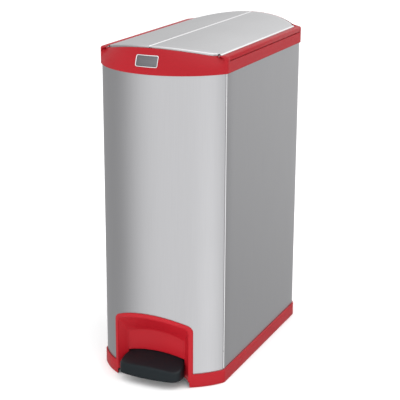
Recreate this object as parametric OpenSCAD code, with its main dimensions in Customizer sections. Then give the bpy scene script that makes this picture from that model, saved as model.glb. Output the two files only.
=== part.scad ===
// Slim step-on waste bin with two leaves that open from the middle.
// Millimetres, +Z up, origin on the floor at the centre of the bin. The pedal end faces -Y.

/* [Body] */
// Width across the straight sides
body_w = 327.2; // [322:0.2:332]
// Length from the pedal's nose to the rear bow
body_l = 690; // [684:1:696]
// How far the rear bows out beyond the corners
end_bow = 103.4; // [101:0.1:105]
// How far the front bows out beyond the corners, behind the pedal's nose
front_bow = 89.4; // [87:0.1:92]
// Height of the lid's crown
body_h = 826; // [822:1:830]
// Steel sheet thickness of panels and lid leaves
sheet_t = 1; // [0.8:0.1:1.2]
// Wall thickness of the mouldings
wall_t = 3; // [2.6:0.1:3.2]
// Step from the frame and base ring in to the steel
sheet_step = 3.4; // [3.3:0.1:3.8]

/* [Base] */
// Top of the base ring
base_top = 34.6; // [32:0.2:36]
// Height of the liner deck's underside
deck_z = 80; // [78:1:82]

/* [Top frame] */
// Height of the band at the crown, measured from its lower edge
band_h = 62.4; // [60:0.2:64]
// Height of the band along the sides
band_side_h = 40.7; // [40:0.1:42]
// Height of the hinge covers
cover_h = 12.5; // [12:0.1:13]

/* [Lid] */
// Half width of the lid over both hinge tubes
lid_hw = 146; // [145:0.5:147]
// Half length of the lid on the centre line
lid_hl = 306; // [304:1:307]
// Bow of the lid's ends
lid_bow = 68.4; // [67:0.2:70]
// Rise of the arched lid over its own width
lid_rise = 20.6; // [20:0.1:21]
// Gap between the lid's ends and the frame
lid_gap = 2; // [1.8:0.1:2.4]
// How far each leaf opens, in degrees
lid_open = 80; // [75:1:80]

/* [Pedal] */
// Half width of the pedal pad
pad_hw = 81; // [78:0.5:82]
// Underside of the pad above the floor
pad_low = 21.5; // [21:0.5:24]
// How far the pad's front edge goes down
pedal_drop = 19; // [17:0.5:19]
// Height of the pedal axle
axle_z = 44; // [43:0.5:45]

/* [Liner] */
// Half width of the liner at its rim
liner_hw = 140; // [138:1:141]
// Half length of the liner at its rim
liner_hl = 285; // [280:1:286]
// Height of the liner
liner_h = 705; // [690:1:706]

/* [Hidden] */
$fn = 96;

red = "firebrick";
steel = "silver";
zinc = "lightslategray";
black = "dimgray";
grey = "gray";

// Radius of an arc from its half chord and its rise
function arc_r(half, rise) = (half * half + rise * rise) / (2 * rise);

hw = body_w / 2;
hl = body_l / 2;
bow_r = arc_r(hw, end_bow);
bow_c = hl - bow_r;
corner_y = hl - end_bow;
front_r = arc_r(hw, front_bow);
front_c = corner_y + front_bow - front_r;

lid_r = arc_r(lid_hw, lid_bow);
lid_c = lid_hl - lid_r;
arch_r = arc_r(lid_hw, lid_rise);
arch_c = body_h - arch_r;
lid_flange = 8;

band_low = body_h - band_h;
rail_top = band_low + band_side_h;
cover_low = rail_top - cover_h;
cover_hy = corner_y - 10.6;
rail_in = lid_hw + 1.3;
rail_round = 4;
lip_t = 2.5;
frame_sink = 2;
band_power = 2.2;

tube_r = 4.5;
rod_r = 2.5;
run = 0.05;
hinge_x = lid_hw - tube_r;
hinge_z = arch_c + sqrt(pow(arch_r - tube_r, 2) - hinge_x * hinge_x);
tube_hy = 236;
rod_hy = 247.5;

lever_l = hl;
rod_y = 323.5;
press_angle = asin(pedal_drop / lever_l);
lift = rod_y * sin(press_angle);
crank_a = lid_open / 2;
crank_r = lift / (2 * sin(crank_a));
pin_r = 2;
pin_x = hinge_x - crank_r * cos(crank_a);
pin_z = hinge_z - crank_r * sin(crank_a);
crank_y = 231;
crank_t = 3;
skin_corner_y = 239.3;
skin_corner_x = 3;
hinge_block_y = 249.5;
yoke_y = 236.5;
yoke_t = 3;
slot_play = 0.6;
bar_z = 731;
bar_h = 12;
bar_half = 130;
bar_end_y = yoke_y + yoke_t / 2;
bar_t = 4;
bar_r = arc_r(bar_half, rod_y - bar_end_y);
bar_c = rod_y - bar_r;
push_r = 4;

recess_y = 285;
recess_hw = 77;
recess_top = 127;
mouth_hw = 97;
mouth_top = 175.5;
// Where the body's front stands beside the mouth
mouth_y = front_c + sqrt(front_r * front_r - mouth_hw * mouth_hw);
flange_hw = 104.4;
flange_top = 182.5;
flange_arch = 208;
notch_z = 15;
// Half width of the base's opening, which clears the skin round the recess
notch_hw = mouth_hw + 3;
pad_slope = 16;
pad_crown_r = 300;
pad_edge_z = 54;
pad_clear = 2;
pad_nose_r = 330;
pad_corner = 22;
// Centre of the pad's corner circles, which touch both its side and its nose arc
pad_corner_y = hl - pad_nose_r + sqrt(pow(pad_nose_r - pad_corner, 2) - pow(pad_hw - pad_corner, 2));
pad_side_y = 297;
pad_back_y = recess_y - 12;
pad_back_hw = recess_hw - 8;
axle_r = 4;
bush_r = 6.5;
axle_half = 84;
bracket_x = 74;
arm_x = 61;
screw_hole = 2.6;
post_x = 125;
post_y = 190;
foot_x = 128;
sheet_lap = 10;
lap_step = 0.45;
// Top of the pad where it passes under the recess's back wall
pad_back_z = pad_edge_z + (hl - 6 - recess_y) * tan(pad_slope);

// Plan outline: straight sides with a circular bow at each end
module bowed(half_w, half_l, r, inset = 0) {
  c = half_l - r;
  intersection() {
    square([2 * (half_w - inset), 2 * (half_l - inset)], center = true);
    union() {
      for (s = [-1, 1])
        translate([0, s * c]) circle(r = r - inset, $fn = 240);
      square([2 * (half_w - inset), 2 * c], center = true);
    }
  }
}

// Plan outline of the body, with its deeper bow at the rear
module body_plan(inset = 0) {
  intersection() {
    square([2 * (hw - inset), 2 * (hl - inset)], center = true);
    union() {
      translate([0, bow_c]) circle(r = bow_r - inset, $fn = 240);
      translate([0, -front_c]) circle(r = front_r - inset, $fn = 240);
      translate([inset - hw, -front_c]) square([2 * (hw - inset), bow_c + front_c]);
    }
  }
}

module lid_plan(inset = 0) {
  bowed(lid_hw, lid_hl, lid_r, inset);
}

// A straight wall that follows the body plan between two insets
module plan_wall(inset, t, low, high) {
  translate([0, 0, low])
    linear_extrude(high - low)
      difference() {
        body_plan(inset);
        body_plan(inset + t);
      }
}

// Box given by its low and high corners
module span(low, high) {
  translate(low) cube(high - low);
}

// Cylinder along Y from y0 to y1
module rod_along_y(x, z, r, y0, y1) {
  translate([x, y0, z]) rotate([-90, 0, 0]) cylinder(r = r, h = y1 - y0);
}

// Cylinder along X from x0 to x1
module rod_along_x(y, z, r, x0, x1) {
  translate([x0, y, z]) rotate([0, 90, 0]) cylinder(r = r, h = x1 - x0);
}

// Everything under the lid's arched surface, lowered by drop
module under_arch(drop = 0) {
  translate([0, 0, arch_c])
    rotate([90, 0, 0])
      cylinder(r = arch_r - drop, h = 2 * hl + 20, center = true, $fn = 720);
}

// Extrudes an XZ outline along Y between y0 and y1
module front_view(y0, y1) {
  translate([0, y1, 0]) rotate([90, 0, 0]) linear_extrude(y1 - y0) children();
}

// Children at each of the six posts that carry the liner deck
module at_posts(z) {
  for (sx = [-1, 1])
    for (y = [-post_y, 0, post_y])
      translate([sx * post_x, y, z]) children();
}

// Children at each of the four screws of the axle brackets
module at_bracket_screws(z) {
  for (sx = [-1, 1])
    for (y = [-9, 9])
      translate([sx * (bracket_x + 13), y, z]) children();
}

// ---- Base ----

module base_ring() {
  color(red)
    difference() {
      plan_wall(0, wall_t, 1, base_top);
      span([-notch_hw, -hl - 1, 0], [notch_hw, -200, base_top + 1]);
    }
}

tray_low = 4;

module base_tray() {
  tray_t = 3;
  rib_h = 14;
  post_r = 11;
  color(black)
    difference() {
      union() {
        translate([0, 0, tray_low]) linear_extrude(tray_t) body_plan(wall_t + 0.3);
        translate([0, 0, tray_low])
          linear_extrude(rib_h)
            difference() {
              body_plan(wall_t + 0.3);
              body_plan(2 * wall_t);
            }
        at_posts(tray_low) cylinder(r = post_r, h = deck_z - tray_low);
        for (sx = [-1, 1])
          span([sx * 40 - 1.5, 30, tray_low], [sx * 40 + 1.5, 250, tray_low + rib_h]);
        for (y = [-150, -60, 60, 150, 230])
          span([-120, y - 1.5, tray_low], [120, y + 1.5, tray_low + rib_h]);
      }
      span([-notch_hw, -hl - 1, 0], [notch_hw, -262, base_top]);
      at_posts(tray_low - 1) cylinder(r = screw_hole, h = deck_z);
      at_bracket_screws(0) cylinder(r = screw_hole, h = 20, $fn = 32);
    }
}

module rubber_feet() {
  color(black)
    for (sx = [-1, 1])
      for (y = [-215, 95, 215])
        translate([sx * foot_x, y, 0]) {
          cylinder(r = 13, h = 2);
          cylinder(r = 11, h = tray_low);
        }
}

// Outline of the pedal opening seen from the front, arched along its top
module mouth_outline(half, top, low, round) {
  offset(r = round, $fn = 48)
    offset(delta = -round)
      intersection() {
        translate([0, top - flange_arch]) circle(r = flange_arch, $fn = 180);
        translate([-half, low]) square([2 * half, top - low]);
      }
}

// The scooped recess behind the opening, grown by skin
module scoop(skin) {
  front_view(-hl - 2, -mouth_y) mouth_outline(mouth_hw + skin, mouth_top + skin, notch_z - 30, 12);
  hull() {
    front_view(-mouth_y - 0.01, -mouth_y)
      mouth_outline(mouth_hw + skin, mouth_top + skin, notch_z - 30, 12);
    front_view(-recess_y, -recess_y + 0.01 + skin)
      mouth_outline(recess_hw + skin, recess_top + skin, notch_z - 30, 8);
  }
}

module pedal_surround() {
  color(red)
    intersection() {
      translate([0, 0, notch_z]) linear_extrude(200) body_plan(0);
      difference() {
        union() {
          intersection() {
            plan_wall(0, wall_t, base_top + 0.3, flange_top + 1);
            front_view(-hl - 1, -200) mouth_outline(flange_hw, flange_top, 0, 15);
          }
          intersection() {
            plan_wall(0, wall_t, notch_z, base_top + 1);
            span([-notch_hw + 0.3, -hl - 1, 0], [notch_hw - 0.3, -200, base_top + 1]);
          }
          difference() {
            scoop(2.5);
            span([-200, -hl - 9, -50], [200, -200, notch_z]);
          }
        }
        scoop(0);
        intersection() {
          span([-recess_hw + 1, -recess_y - 20, -10], [recess_hw - 1, -recess_y + 20, 90]);
          rod_along_y(0, pad_back_z + pad_clear - pad_crown_r, pad_crown_r, -hl, -200, $fn = 360);
        }
      }
    }
}

// ---- Body ----

panel_low = 19;
seam_y = corner_y - 2;

module front_panel() {
  color(steel)
    difference() {
      intersection() {
        plan_wall(sheet_step, sheet_t, panel_low, band_low + sheet_lap);
        span([-hw, -hl, 0], [hw, -seam_y - 0.4, body_h]);
      }
      front_view(-hl - 1, -200) mouth_outline(mouth_hw + 3.2, mouth_top + 3.2, -20, 13);
    }
}

module body_wrap() {
  color(steel)
    difference() {
      plan_wall(sheet_step, sheet_t, panel_low, band_low + sheet_lap);
      span([-hw - 1, -hl - 1, 0], [hw + 1, -seam_y, body_h]);
    }
}

module liner_deck() {
  color(grey)
    difference() {
      translate([0, 0, deck_z]) linear_extrude(3) body_plan(sheet_step + sheet_t + 0.4);
      span([-flange_hw - 4, -hl, 0], [flange_hw + 4, -recess_y + 4, 200]);
      span([-50, 306, 0], [60, hl, 200]);
      at_posts(deck_z - 1) cylinder(r = screw_hole, h = 5);
    }
}

liner_r = 155;
liner_taper = 7;

module liner_body(inset, low, high) {
  hull() {
    translate([0, 0, low])
      linear_extrude(0.1) bowed(liner_hw, liner_hl, liner_r, inset + liner_taper, $fn = 48);
    translate([0, 0, high - 0.1])
      linear_extrude(0.1) bowed(liner_hw, liner_hl, liner_r, inset, $fn = 48);
  }
}

module liner() {
  liner_low = deck_z + 5.7;
  liner_wall = 2.5;
  rim = 4;
  color(grey)
    difference() {
      union() {
        liner_body(rim, liner_low, liner_low + liner_h);
        translate([0, 0, liner_low + liner_h - 12])
          linear_extrude(12) bowed(liner_hw, liner_hl, liner_r);
      }
      liner_body(rim + liner_wall, liner_low + 3, liner_low + liner_h + 1);
    }
}

// ---- Top frame ----

// Height of the frame's top edge at x
function edge_z(x) = abs(x) < lid_hw
  ? arch_c + sqrt(pow(arch_r - frame_sink, 2) - x * x)
  : rail_top;
// How far out the band stands at its lower edge, where end is -1 at the front and 1 at the rear
function low_y(x, end) = end < 0
  ? front_c + sqrt(front_r * front_r - x * x)
  : bow_c + sqrt(bow_r * bow_r - x * x);
// How far out it stands at its upper edge
function top_y(x) = max(corner_y, lid_c + sqrt(pow(lid_r + lid_gap + 2, 2) - x * x));
function band_y(x, z, end) = low_y(x, end)
  + (top_y(x) - low_y(x, end)) * pow(min(1, (z - band_low) / (edge_z(x) - band_low)), band_power);
// Widest x that the frame reaches at height z
function band_x(z) = z <= rail_top - rail_round ? hw
  : z <= rail_top ? hw - rail_round + sqrt(max(0, pow(rail_round, 2) - pow(z - rail_top + rail_round, 2)))
  : min(lid_hw, sqrt(max(1, pow(arch_r - frame_sink, 2) - pow(z - arch_c, 2))));

band_steps = 24;
band_levels = concat(
  [for (i = [0:4]) band_low + i * (band_side_h - rail_round) / 4],
  [for (i = [1:3]) rail_top - rail_round + rail_round * i / 3],
  [for (i = [1:5]) rail_top + (band_h - frame_sink - band_side_h) * i / 5.05]
);

// One level outline of the frame, pulled in by inset
module band_slice(z, inset) {
  xm = band_x(z) - inset;
  front = [for (i = [0:band_steps]) let (x = xm * (2 * i / band_steps - 1))
    [x, -(band_y(x, z, -1) - inset)]];
  rear = [for (i = [0:band_steps]) let (x = xm * (1 - 2 * i / band_steps))
    [x, band_y(x, z, 1) - inset]];
  polygon(concat(front, rear));
}

module band_envelope(inset) {
  hull()
    for (z = band_levels)
      if (band_x(z) > inset + 5)
        translate([0, 0, z - inset]) linear_extrude(0.01) band_slice(z, inset);
}

module top_frame() {
  color(red)
    difference() {
      intersection() {
        band_envelope(0);
        union() {
          under_arch(frame_sink);
          span([-hw - 5, -hl - 5, 0], [hw + 5, hl + 5, rail_top]);
        }
      }
      difference() {
        union() {
          band_envelope(wall_t);
          translate([0, 0, band_low - 1]) linear_extrude(sheet_lap + 2) body_plan(wall_t - lap_step);
        }
        translate([0, 0, band_low - 2]) linear_extrude(100) lid_plan(-lid_gap - lip_t);
        for (sx = [-1, 1])
          for (sy = [-1, 1])
            translate([sx * hinge_x, sy * hinge_block_y, rail_top - cover_h / 2])
              cube([13, 11, cover_h], center = true);
      }
      translate([0, 0, band_low - 2]) linear_extrude(100) lid_plan(-lid_gap);
      for (sx = [-1, 1]) {
        translate([sx * (rail_in + 20 - 0.4), 0, cover_low + 20 - 0.4])
          cube([40, 2 * cover_hy + 0.8, 40], center = true);
        rod_along_y(sx * hinge_x, hinge_z, rod_r + run, -rod_hy - 0.5, rod_hy + 0.5);
      }
      on_band() front_view(-4, badge_back) badge_outline(badge_w, badge_h, badge_round);
    }
}

// Strip over one hinge, rounded along its outer edge
module hinge_cover(side) {
  w = hw - rail_in;
  color(red)
    translate([side * (rail_in + w / 2), 0, 0])
      difference() {
        intersection() {
          span([-w / 2, -cover_hy, cover_low], [w / 2, cover_hy, rail_top]);
          union() {
            span([-w / 2, -hl, 0], [w / 2, hl, rail_top - rail_round]);
            span([side > 0 ? -w / 2 : -w / 2 + rail_round, -hl, 0],
                 [side > 0 ? w / 2 - rail_round : w / 2, hl, rail_top]);
            rod_along_y(side * (w / 2 - rail_round), rail_top - rail_round, rail_round, -hl, hl);
          }
        }
        span([-w / 2 + 2, -cover_hy + 2, 0], [w / 2 - 2, cover_hy - 2, rail_top - wall_t]);
      }
}

module hinge_rod(side) {
  color(zinc) rod_along_y(side * hinge_x, hinge_z, rod_r, -rod_hy, rod_hy);
}

// The badge lies on the band's leaning face, on the centre line
badge_z = 793.5;
badge_w = 56;
badge_h = 28;
badge_lean = atan((band_y(0, badge_z - badge_h / 2, -1) - band_y(0, badge_z + badge_h / 2, -1)) / badge_h);
badge_sink = 1.2;
badge_back = 1.3;
badge_round = 4.5;

module on_band() {
  translate([0, badge_sink - band_y(0, badge_z, -1), badge_z]) rotate([-badge_lean, 0, 0]) children();
}

module badge_outline(w, h, r) {
  for (sx = [-1, 1])
    for (sz = [-1, 1])
      translate([sx * (w / 2 - r), sz * (h / 2 - r)]) circle(r = r, $fn = 32);
  square([w - 2 * r, h], center = true);
  square([w, h - 2 * r], center = true);
}

module badge_bezel() {
  color("gainsboro")
    on_band()
      difference() {
        front_view(-1.6, badge_back) badge_outline(badge_w, badge_h, badge_round);
        front_view(-2, 3) badge_outline(badge_w - 5, badge_h - 5, badge_round - 2);
      }
}

module badge_plate() {
  color("dimgray")
    on_band() front_view(-0.9, badge_back) badge_outline(badge_w - 5.2, badge_h - 5.2, badge_round - 2.1);
}

// ---- Lid ----

leaf_gap = 0.7;

// One leaf's share of the lid plan, mirrored for the left side
module leaf_plan(side, inset) {
  intersection() {
    lid_plan(inset);
    mirror([side < 0 ? 1 : 0, 0])
      translate([leaf_gap + inset, -hl]) square([hinge_x + 1.2 - leaf_gap - inset, 2 * hl]);
  }
}

module lid_skin(side) {
  color(steel)
    difference() {
      intersection() {
        translate([0, 0, band_low]) linear_extrude(band_h + 1) leaf_plan(side, 0);
        under_arch();
      }
      intersection() {
        translate([0, 0, band_low - 1]) linear_extrude(band_h + 1) leaf_plan(side, sheet_t);
        under_arch(sheet_t);
      }
      intersection() {
        translate([side * (hinge_x + 1), 0, hinge_z - 5.2]) cube([12, 2 * hl, 20], center = true);
        under_arch(sheet_t);
      }
      under_arch(lid_flange);
      rod_along_y(side * hinge_x, hinge_z, tube_r + 0.02, -hl, hl);
      // Corner notches, which clear the frame as the leaf stands up
      for (sy = [-1, 1])
        translate([side * hinge_x, sy * (skin_corner_y + 20), hinge_z])
          cube([2 * skin_corner_x, 40, 40], center = true);
    }
}

pan_r = 155;
pan_hl = 285;
pan_hw = 134;
pan_low = hinge_z - 2.5;

module pan_plan(side, inset) {
  intersection() {
    bowed(pan_hw, pan_hl, pan_r, inset);
    mirror([side < 0 ? 1 : 0, 0]) translate([leaf_gap + 2 + inset, -hl]) square([200, 2 * hl]);
  }
}

module lid_pan(side) {
  rib_t = 2;
  color(black)
    difference() {
      intersection() {
        translate([0, 0, pan_low]) linear_extrude(60) pan_plan(side, 0);
        under_arch(sheet_t);
      }
      difference() {
        intersection() {
          translate([0, 0, pan_low - 1]) linear_extrude(60) pan_plan(side, 2.2);
          under_arch(sheet_t + 2.2);
        }
        for (y = [-200, -100, 0, 100, 200])
          span([-200, y - rib_t / 2, pan_low + 4], [200, y + rib_t / 2, body_h]);
        span([side * 70 - rib_t / 2, -hl, pan_low + 4], [side * 70 + rib_t / 2, hl, body_h]);
      }
    }
}

module hinge_tube(side) {
  color(zinc)
    difference() {
      rod_along_y(side * hinge_x, hinge_z, tube_r, -tube_hy, tube_hy);
      rod_along_y(side * hinge_x, hinge_z, rod_r + run, -tube_hy - 1, tube_hy + 1);
    }
}

module crank(side) {
  color(zinc) {
    difference() {
      union() {
        translate([side * hinge_x, crank_y, hinge_z])
          rotate([0, side > 0 ? -180 - crank_a : crank_a, 0])
            span([0, 0, -3.5], [crank_r, crank_t, 3.5]);
        rod_along_y(side * pin_x, pin_z, 4.5, crank_y, crank_y + crank_t);
      }
      rod_along_y(side * hinge_x, hinge_z, tube_r, -tube_hy - 1, tube_hy + 1);
    }
    rod_along_y(side * pin_x, pin_z, pin_r, crank_y + crank_t - 0.5, yoke_y + yoke_t + 2.5);
  }
}

// ---- Pedal ----

module pad_plan(inset) {
  side_hw = pad_hw - inset;
  back_hw = pad_back_hw - inset;
  intersection() {
    translate([0, pad_nose_r - hl]) circle(r = pad_nose_r - inset, $fn = 240);
    union() {
      for (s = [-1, 1])
        translate([s * (pad_hw - pad_corner), -pad_corner_y]) circle(r = pad_corner - inset, $fn = 64);
      translate([pad_corner - pad_hw, -hl - 1]) square([2 * (pad_hw - pad_corner), 50]);
      polygon([
        [-side_hw, -pad_corner_y], [side_hw, -pad_corner_y], [side_hw, -pad_side_y],
        [back_hw, -pad_back_y - inset], [-back_hw, -pad_back_y - inset], [-side_hw, -pad_side_y]
      ]);
    }
  }
}

// Everything under the pad's crowned, sloping top
module under_pad_top(drop) {
  translate([0, -hl + 6, pad_edge_z - drop])
    rotate([90 + pad_slope, 0, 0])
      translate([0, -pad_crown_r, 0])
        cylinder(r = pad_crown_r, h = 260, center = true, $fn = 360);
}

module pedal_pad() {
  color(black)
    difference() {
      intersection() {
        translate([0, 0, pad_low]) linear_extrude(60) pad_plan(0);
        under_pad_top(0);
      }
      intersection() {
        translate([0, 0, pad_low - 1]) linear_extrude(60) pad_plan(3);
        under_pad_top(4);
        span([-200, -hl, 0], [200, -recess_y - 6, 100]);
      }
      for (sx = [-1, 1])
        span([sx * arm_x - 3, -arm_front, arm_low], [sx * arm_x + 3, -200, arm_high]);
    }
}

arm_low = 36;
arm_high = 50;
arm_front = 303;

module pedal_lever() {
  hub_r = 9;
  color(zinc)
    difference() {
      union() {
        for (sx = [-1, 1])
          span([sx * arm_x - 3, -arm_front, arm_low], [sx * arm_x + 3, 0, arm_high]);
        rod_along_x(0, axle_z, hub_r, -66, 66);
        span([-66, -252, arm_low + 2], [66, -240, arm_high - 2]);
        span([-11, 0, arm_low + 1], [11, rod_y + 12, arm_high - 1]);
      }
      rod_along_x(0, axle_z, axle_r + run, -70, 70);
    }
}

module pedal_axle() {
  color(zinc) rod_along_x(0, axle_z, axle_r, -axle_half, axle_half);
}

module axle_bushes() {
  color("ivory")
    for (sx = [-1, 1])
      difference() {
        union() {
          rod_along_x(0, axle_z, bush_r, min(sx * 67, sx * 76), max(sx * 67, sx * 76));
          rod_along_x(0, axle_z, 9, min(sx * 67, sx * 71.8), max(sx * 67, sx * 71.8));
        }
        rod_along_x(0, axle_z, axle_r, -90, 90);
      }
}

module axle_brackets() {
  color(zinc)
    for (sx = [-1, 1])
      difference() {
        union() {
          span([sx * bracket_x - 2, -16, 7], [sx * bracket_x + 2, 16, axle_z]);
          rod_along_x(0, axle_z, 16, sx * bracket_x - 2, sx * bracket_x + 2);
          span([sx * (bracket_x + 11) - 12, -16, 7], [sx * (bracket_x + 11) + 12, 16, 10]);
        }
        rod_along_x(0, axle_z, bush_r, -90, 90);
        at_bracket_screws(0) cylinder(r = screw_hole, h = 20, $fn = 32);
      }
}

// ---- Lift linkage ----

foot_low = arm_high - 1 + 0.8;
guide_low = 228;
guide_high = 640;
guide_t = 8;
collar_z = 160;
spring_low = collar_z + 8.2;
spring_high = guide_low - 0.4;

module push_rod() {
  color(zinc) translate([0, rod_y, foot_low + 6]) cylinder(r = push_r, h = bar_z + bar_h - foot_low - 6);
}

module rod_foot() {
  color(black)
    translate([0, rod_y, foot_low])
      difference() {
        cylinder(r = 6, h = 14);
        translate([0, 0, 6]) cylinder(r = push_r, h = 10);
      }
}

module rod_collar() {
  color(zinc)
    translate([0, rod_y, collar_z])
      difference() {
        cylinder(r = 9, h = 8);
        translate([0, 0, -1]) cylinder(r = push_r, h = 10);
      }
}

// Bowed bar that joins the rod to the two yokes
module lift_bar() {
  color(zinc)
    difference() {
      union() {
        intersection() {
          translate([0, bar_c, bar_z])
            difference() {
              cylinder(r = bar_r + bar_t / 2, h = bar_h, $fn = 240);
              translate([0, 0, -1]) cylinder(r = bar_r - bar_t / 2, h = bar_h + 2, $fn = 240);
            }
          span([-bar_half - 5, yoke_y + yoke_t, 0], [bar_half + 5, hl, body_h]);
        }
        translate([0, rod_y, bar_z]) cylinder(r = 8, h = bar_h);
      }
      translate([0, rod_y, bar_z - 1]) cylinder(r = push_r, h = bar_h + 2);
    }
}

// Upright plate with a level slot for the crank pin
module yoke(side) {
  slot_h = 2 * (pin_r + slot_play);
  slot_x0 = hinge_x - crank_r;
  color(zinc)
    difference() {
      span([side * pin_x - 8, yoke_y, bar_z], [side * pin_x + 8, yoke_y + yoke_t, pin_z + 6]);
      for (x = [slot_x0 - 0.4, pin_x + 0.4])
        rod_along_y(side * x, pin_z, slot_h / 2, yoke_y - 1, yoke_y + yoke_t + 1);
      span([min(side * (slot_x0 - 0.4), side * (pin_x + 0.4)), yoke_y - 1, pin_z - slot_h / 2],
           [max(side * (slot_x0 - 0.4), side * (pin_x + 0.4)), yoke_y + yoke_t + 1, pin_z + slot_h / 2]);
    }
}

module rod_guide(z) {
  color(black)
    difference() {
      intersection() {
        union() {
          span([-16, rod_y - 10, z], [16, hl, z + guide_t]);
          span([-24, rod_y + 12, z - 6], [24, hl, z + guide_t + 6]);
        }
        linear_extrude(body_h) body_plan(sheet_step + sheet_t + 0.1);
      }
      translate([0, rod_y, z - 10]) cylinder(r = push_r + run, h = guide_t + 20);
    }
}

// Return spring, drawn as rings one pitch apart joined by two thin posts
module return_spring() {
  wire = 1.2;
  turns = 9;
  pitch = (spring_high - spring_low - 2 * wire) / (turns - 1);
  color(zinc)
    translate([0, rod_y, spring_low]) {
      for (i = [0:turns - 1])
        translate([0, 0, wire + i * pitch]) rotate_extrude() translate([6.4, 0]) circle(r = wire, $fn = 24);
      for (s = [-1, 1])
        translate([s * 6.4, 0, wire]) cylinder(r = 0.8, h = spring_high - spring_low - 2 * wire);
    }
}

damper_x = 34;
damper_y = 316;
damper_low = 300;
damper_l = 150;

module damper_cylinder() {
  color("dimgray")
    translate([damper_x, damper_y, damper_low])
      difference() {
        cylinder(r = 9, h = damper_l);
        translate([0, 0, 6]) cylinder(r = 7.6, h = damper_l - 12);
        translate([0, 0, damper_l - 10]) cylinder(r = 3 + run, h = 20);
      }
}

module damper_rod() {
  color("silver")
    translate([damper_x, damper_y, damper_low + damper_l - 60]) {
      cylinder(r = 3, h = 130);
      cylinder(r = 7.2, h = 8);
    }
}

module damper_clamp() {
  z = damper_low + damper_l + 60;
  color(zinc)
    difference() {
      union() {
        translate([0, rod_y, z]) cylinder(r = 9, h = 10);
        translate([damper_x, damper_y, z]) cylinder(r = 8, h = 10);
        span([0, damper_y - 3, z], [damper_x, damper_y + 7, z + 10]);
      }
      translate([0, rod_y, z - 1]) cylinder(r = push_r, h = 12);
      translate([damper_x, damper_y, z - 1]) cylinder(r = 3, h = 12);
    }
}

module damper_bracket() {
  color(black)
    difference() {
      intersection() {
        for (z = [damper_low + 12, damper_low + 80])
          span([damper_x - 12, damper_y - 12, z], [damper_x + 14, hl, z + 12]);
        linear_extrude(body_h) body_plan(sheet_step + sheet_t + 0.1);
      }
      translate([damper_x, damper_y, 0]) cylinder(r = 9, h = body_h);
    }
}

// ---- Fasteners ----

// Pan-head screw that enters upwards from z
module screw_up(r_head, r_shank, length) {
  translate([0, 0, -2.2]) cylinder(r = r_head, h = 2.2, $fn = 48);
  translate([0, 0, -0.5]) cylinder(r = r_shank, h = length, $fn = 32);
}

module tray_screws() {
  color("silver") at_posts(deck_z + 3) mirror([0, 0, 1]) screw_up(5, 2.5, 20);
}

module bracket_screws() {
  color("silver") at_bracket_screws(10) mirror([0, 0, 1]) screw_up(4.5, 2.5, 5.8);
}

module guide_rivets() {
  rivet_r = 4;
  color("silver")
    for (z = [guide_low + guide_t / 2, guide_high + guide_t / 2])
      for (sx = [-1, 1])
        translate([sx * 20, low_y(20, 1) - sheet_step - 1, z])
          rotate([-90, 0, 0]) {
            translate([0, 0, 0.6]) cylinder(r = rivet_r, h = 1.6, $fn = 48);
            cylinder(r = 1.9, h = 1, $fn = 32);
          }
}

base_ring();
base_tray();
rubber_feet();
pedal_surround();
front_panel();
body_wrap();
liner_deck();
liner();
top_frame();
hinge_cover(-1);  // hinge_cover_left
hinge_cover(1);  // hinge_cover_right
hinge_rod(-1);  // hinge_rod_left
hinge_rod(1);  // hinge_rod_right
badge_bezel();
badge_plate();
lid_skin(-1);  // lid_skin_left
lid_skin(1);  // lid_skin_right
lid_pan(-1);  // lid_pan_left
lid_pan(1);  // lid_pan_right
hinge_tube(-1);  // hinge_tube_left
hinge_tube(1);  // hinge_tube_right
crank(-1);  // crank_left
crank(1);  // crank_right
pedal_pad();
pedal_lever();
pedal_axle();
axle_bushes();
axle_brackets();
push_rod();
rod_foot();
rod_collar();
lift_bar();
yoke(-1);  // yoke_left
yoke(1);  // yoke_right
rod_guide(guide_low);  // rod_guide_lower
rod_guide(guide_high);  // rod_guide_upper
return_spring();
damper_cylinder();
damper_rod();
damper_clamp();
damper_bracket();
tray_screws();
bracket_screws();
guide_rivets();
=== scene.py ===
"""Looks of the slim step-on waste bin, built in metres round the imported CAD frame."""
import math

import bmesh
import bpy
import numpy as np
from mathutils import Matrix, Vector


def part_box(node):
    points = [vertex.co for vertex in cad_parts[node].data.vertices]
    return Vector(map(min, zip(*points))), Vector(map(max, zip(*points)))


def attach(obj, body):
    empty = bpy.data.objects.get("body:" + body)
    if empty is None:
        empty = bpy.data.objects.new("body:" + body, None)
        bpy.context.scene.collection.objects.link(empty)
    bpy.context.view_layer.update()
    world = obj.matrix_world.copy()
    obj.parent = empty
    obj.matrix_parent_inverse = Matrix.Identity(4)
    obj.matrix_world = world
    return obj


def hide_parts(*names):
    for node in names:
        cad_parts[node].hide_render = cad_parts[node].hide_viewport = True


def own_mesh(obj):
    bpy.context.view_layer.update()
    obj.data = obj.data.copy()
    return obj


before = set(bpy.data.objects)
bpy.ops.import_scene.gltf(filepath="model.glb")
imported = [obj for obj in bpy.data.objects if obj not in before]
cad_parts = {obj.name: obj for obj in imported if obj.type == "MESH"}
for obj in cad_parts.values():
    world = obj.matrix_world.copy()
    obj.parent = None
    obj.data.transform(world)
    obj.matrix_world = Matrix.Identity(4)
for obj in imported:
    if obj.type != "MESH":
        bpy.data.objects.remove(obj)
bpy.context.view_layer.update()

MM = 0.001

# ---- Sizes, in millimetres, taken from the frame where it gives them ----


def box_mm(node):
    """Lowest and highest corner of a CAD node, in millimetres."""
    low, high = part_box(node)
    return np.array(low) / MM, np.array(high) / MM


def arc_radius(half, rise):
    """Radius of the arc with that half chord and rise."""
    return (half * half + rise * rise) / (2 * rise)


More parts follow.
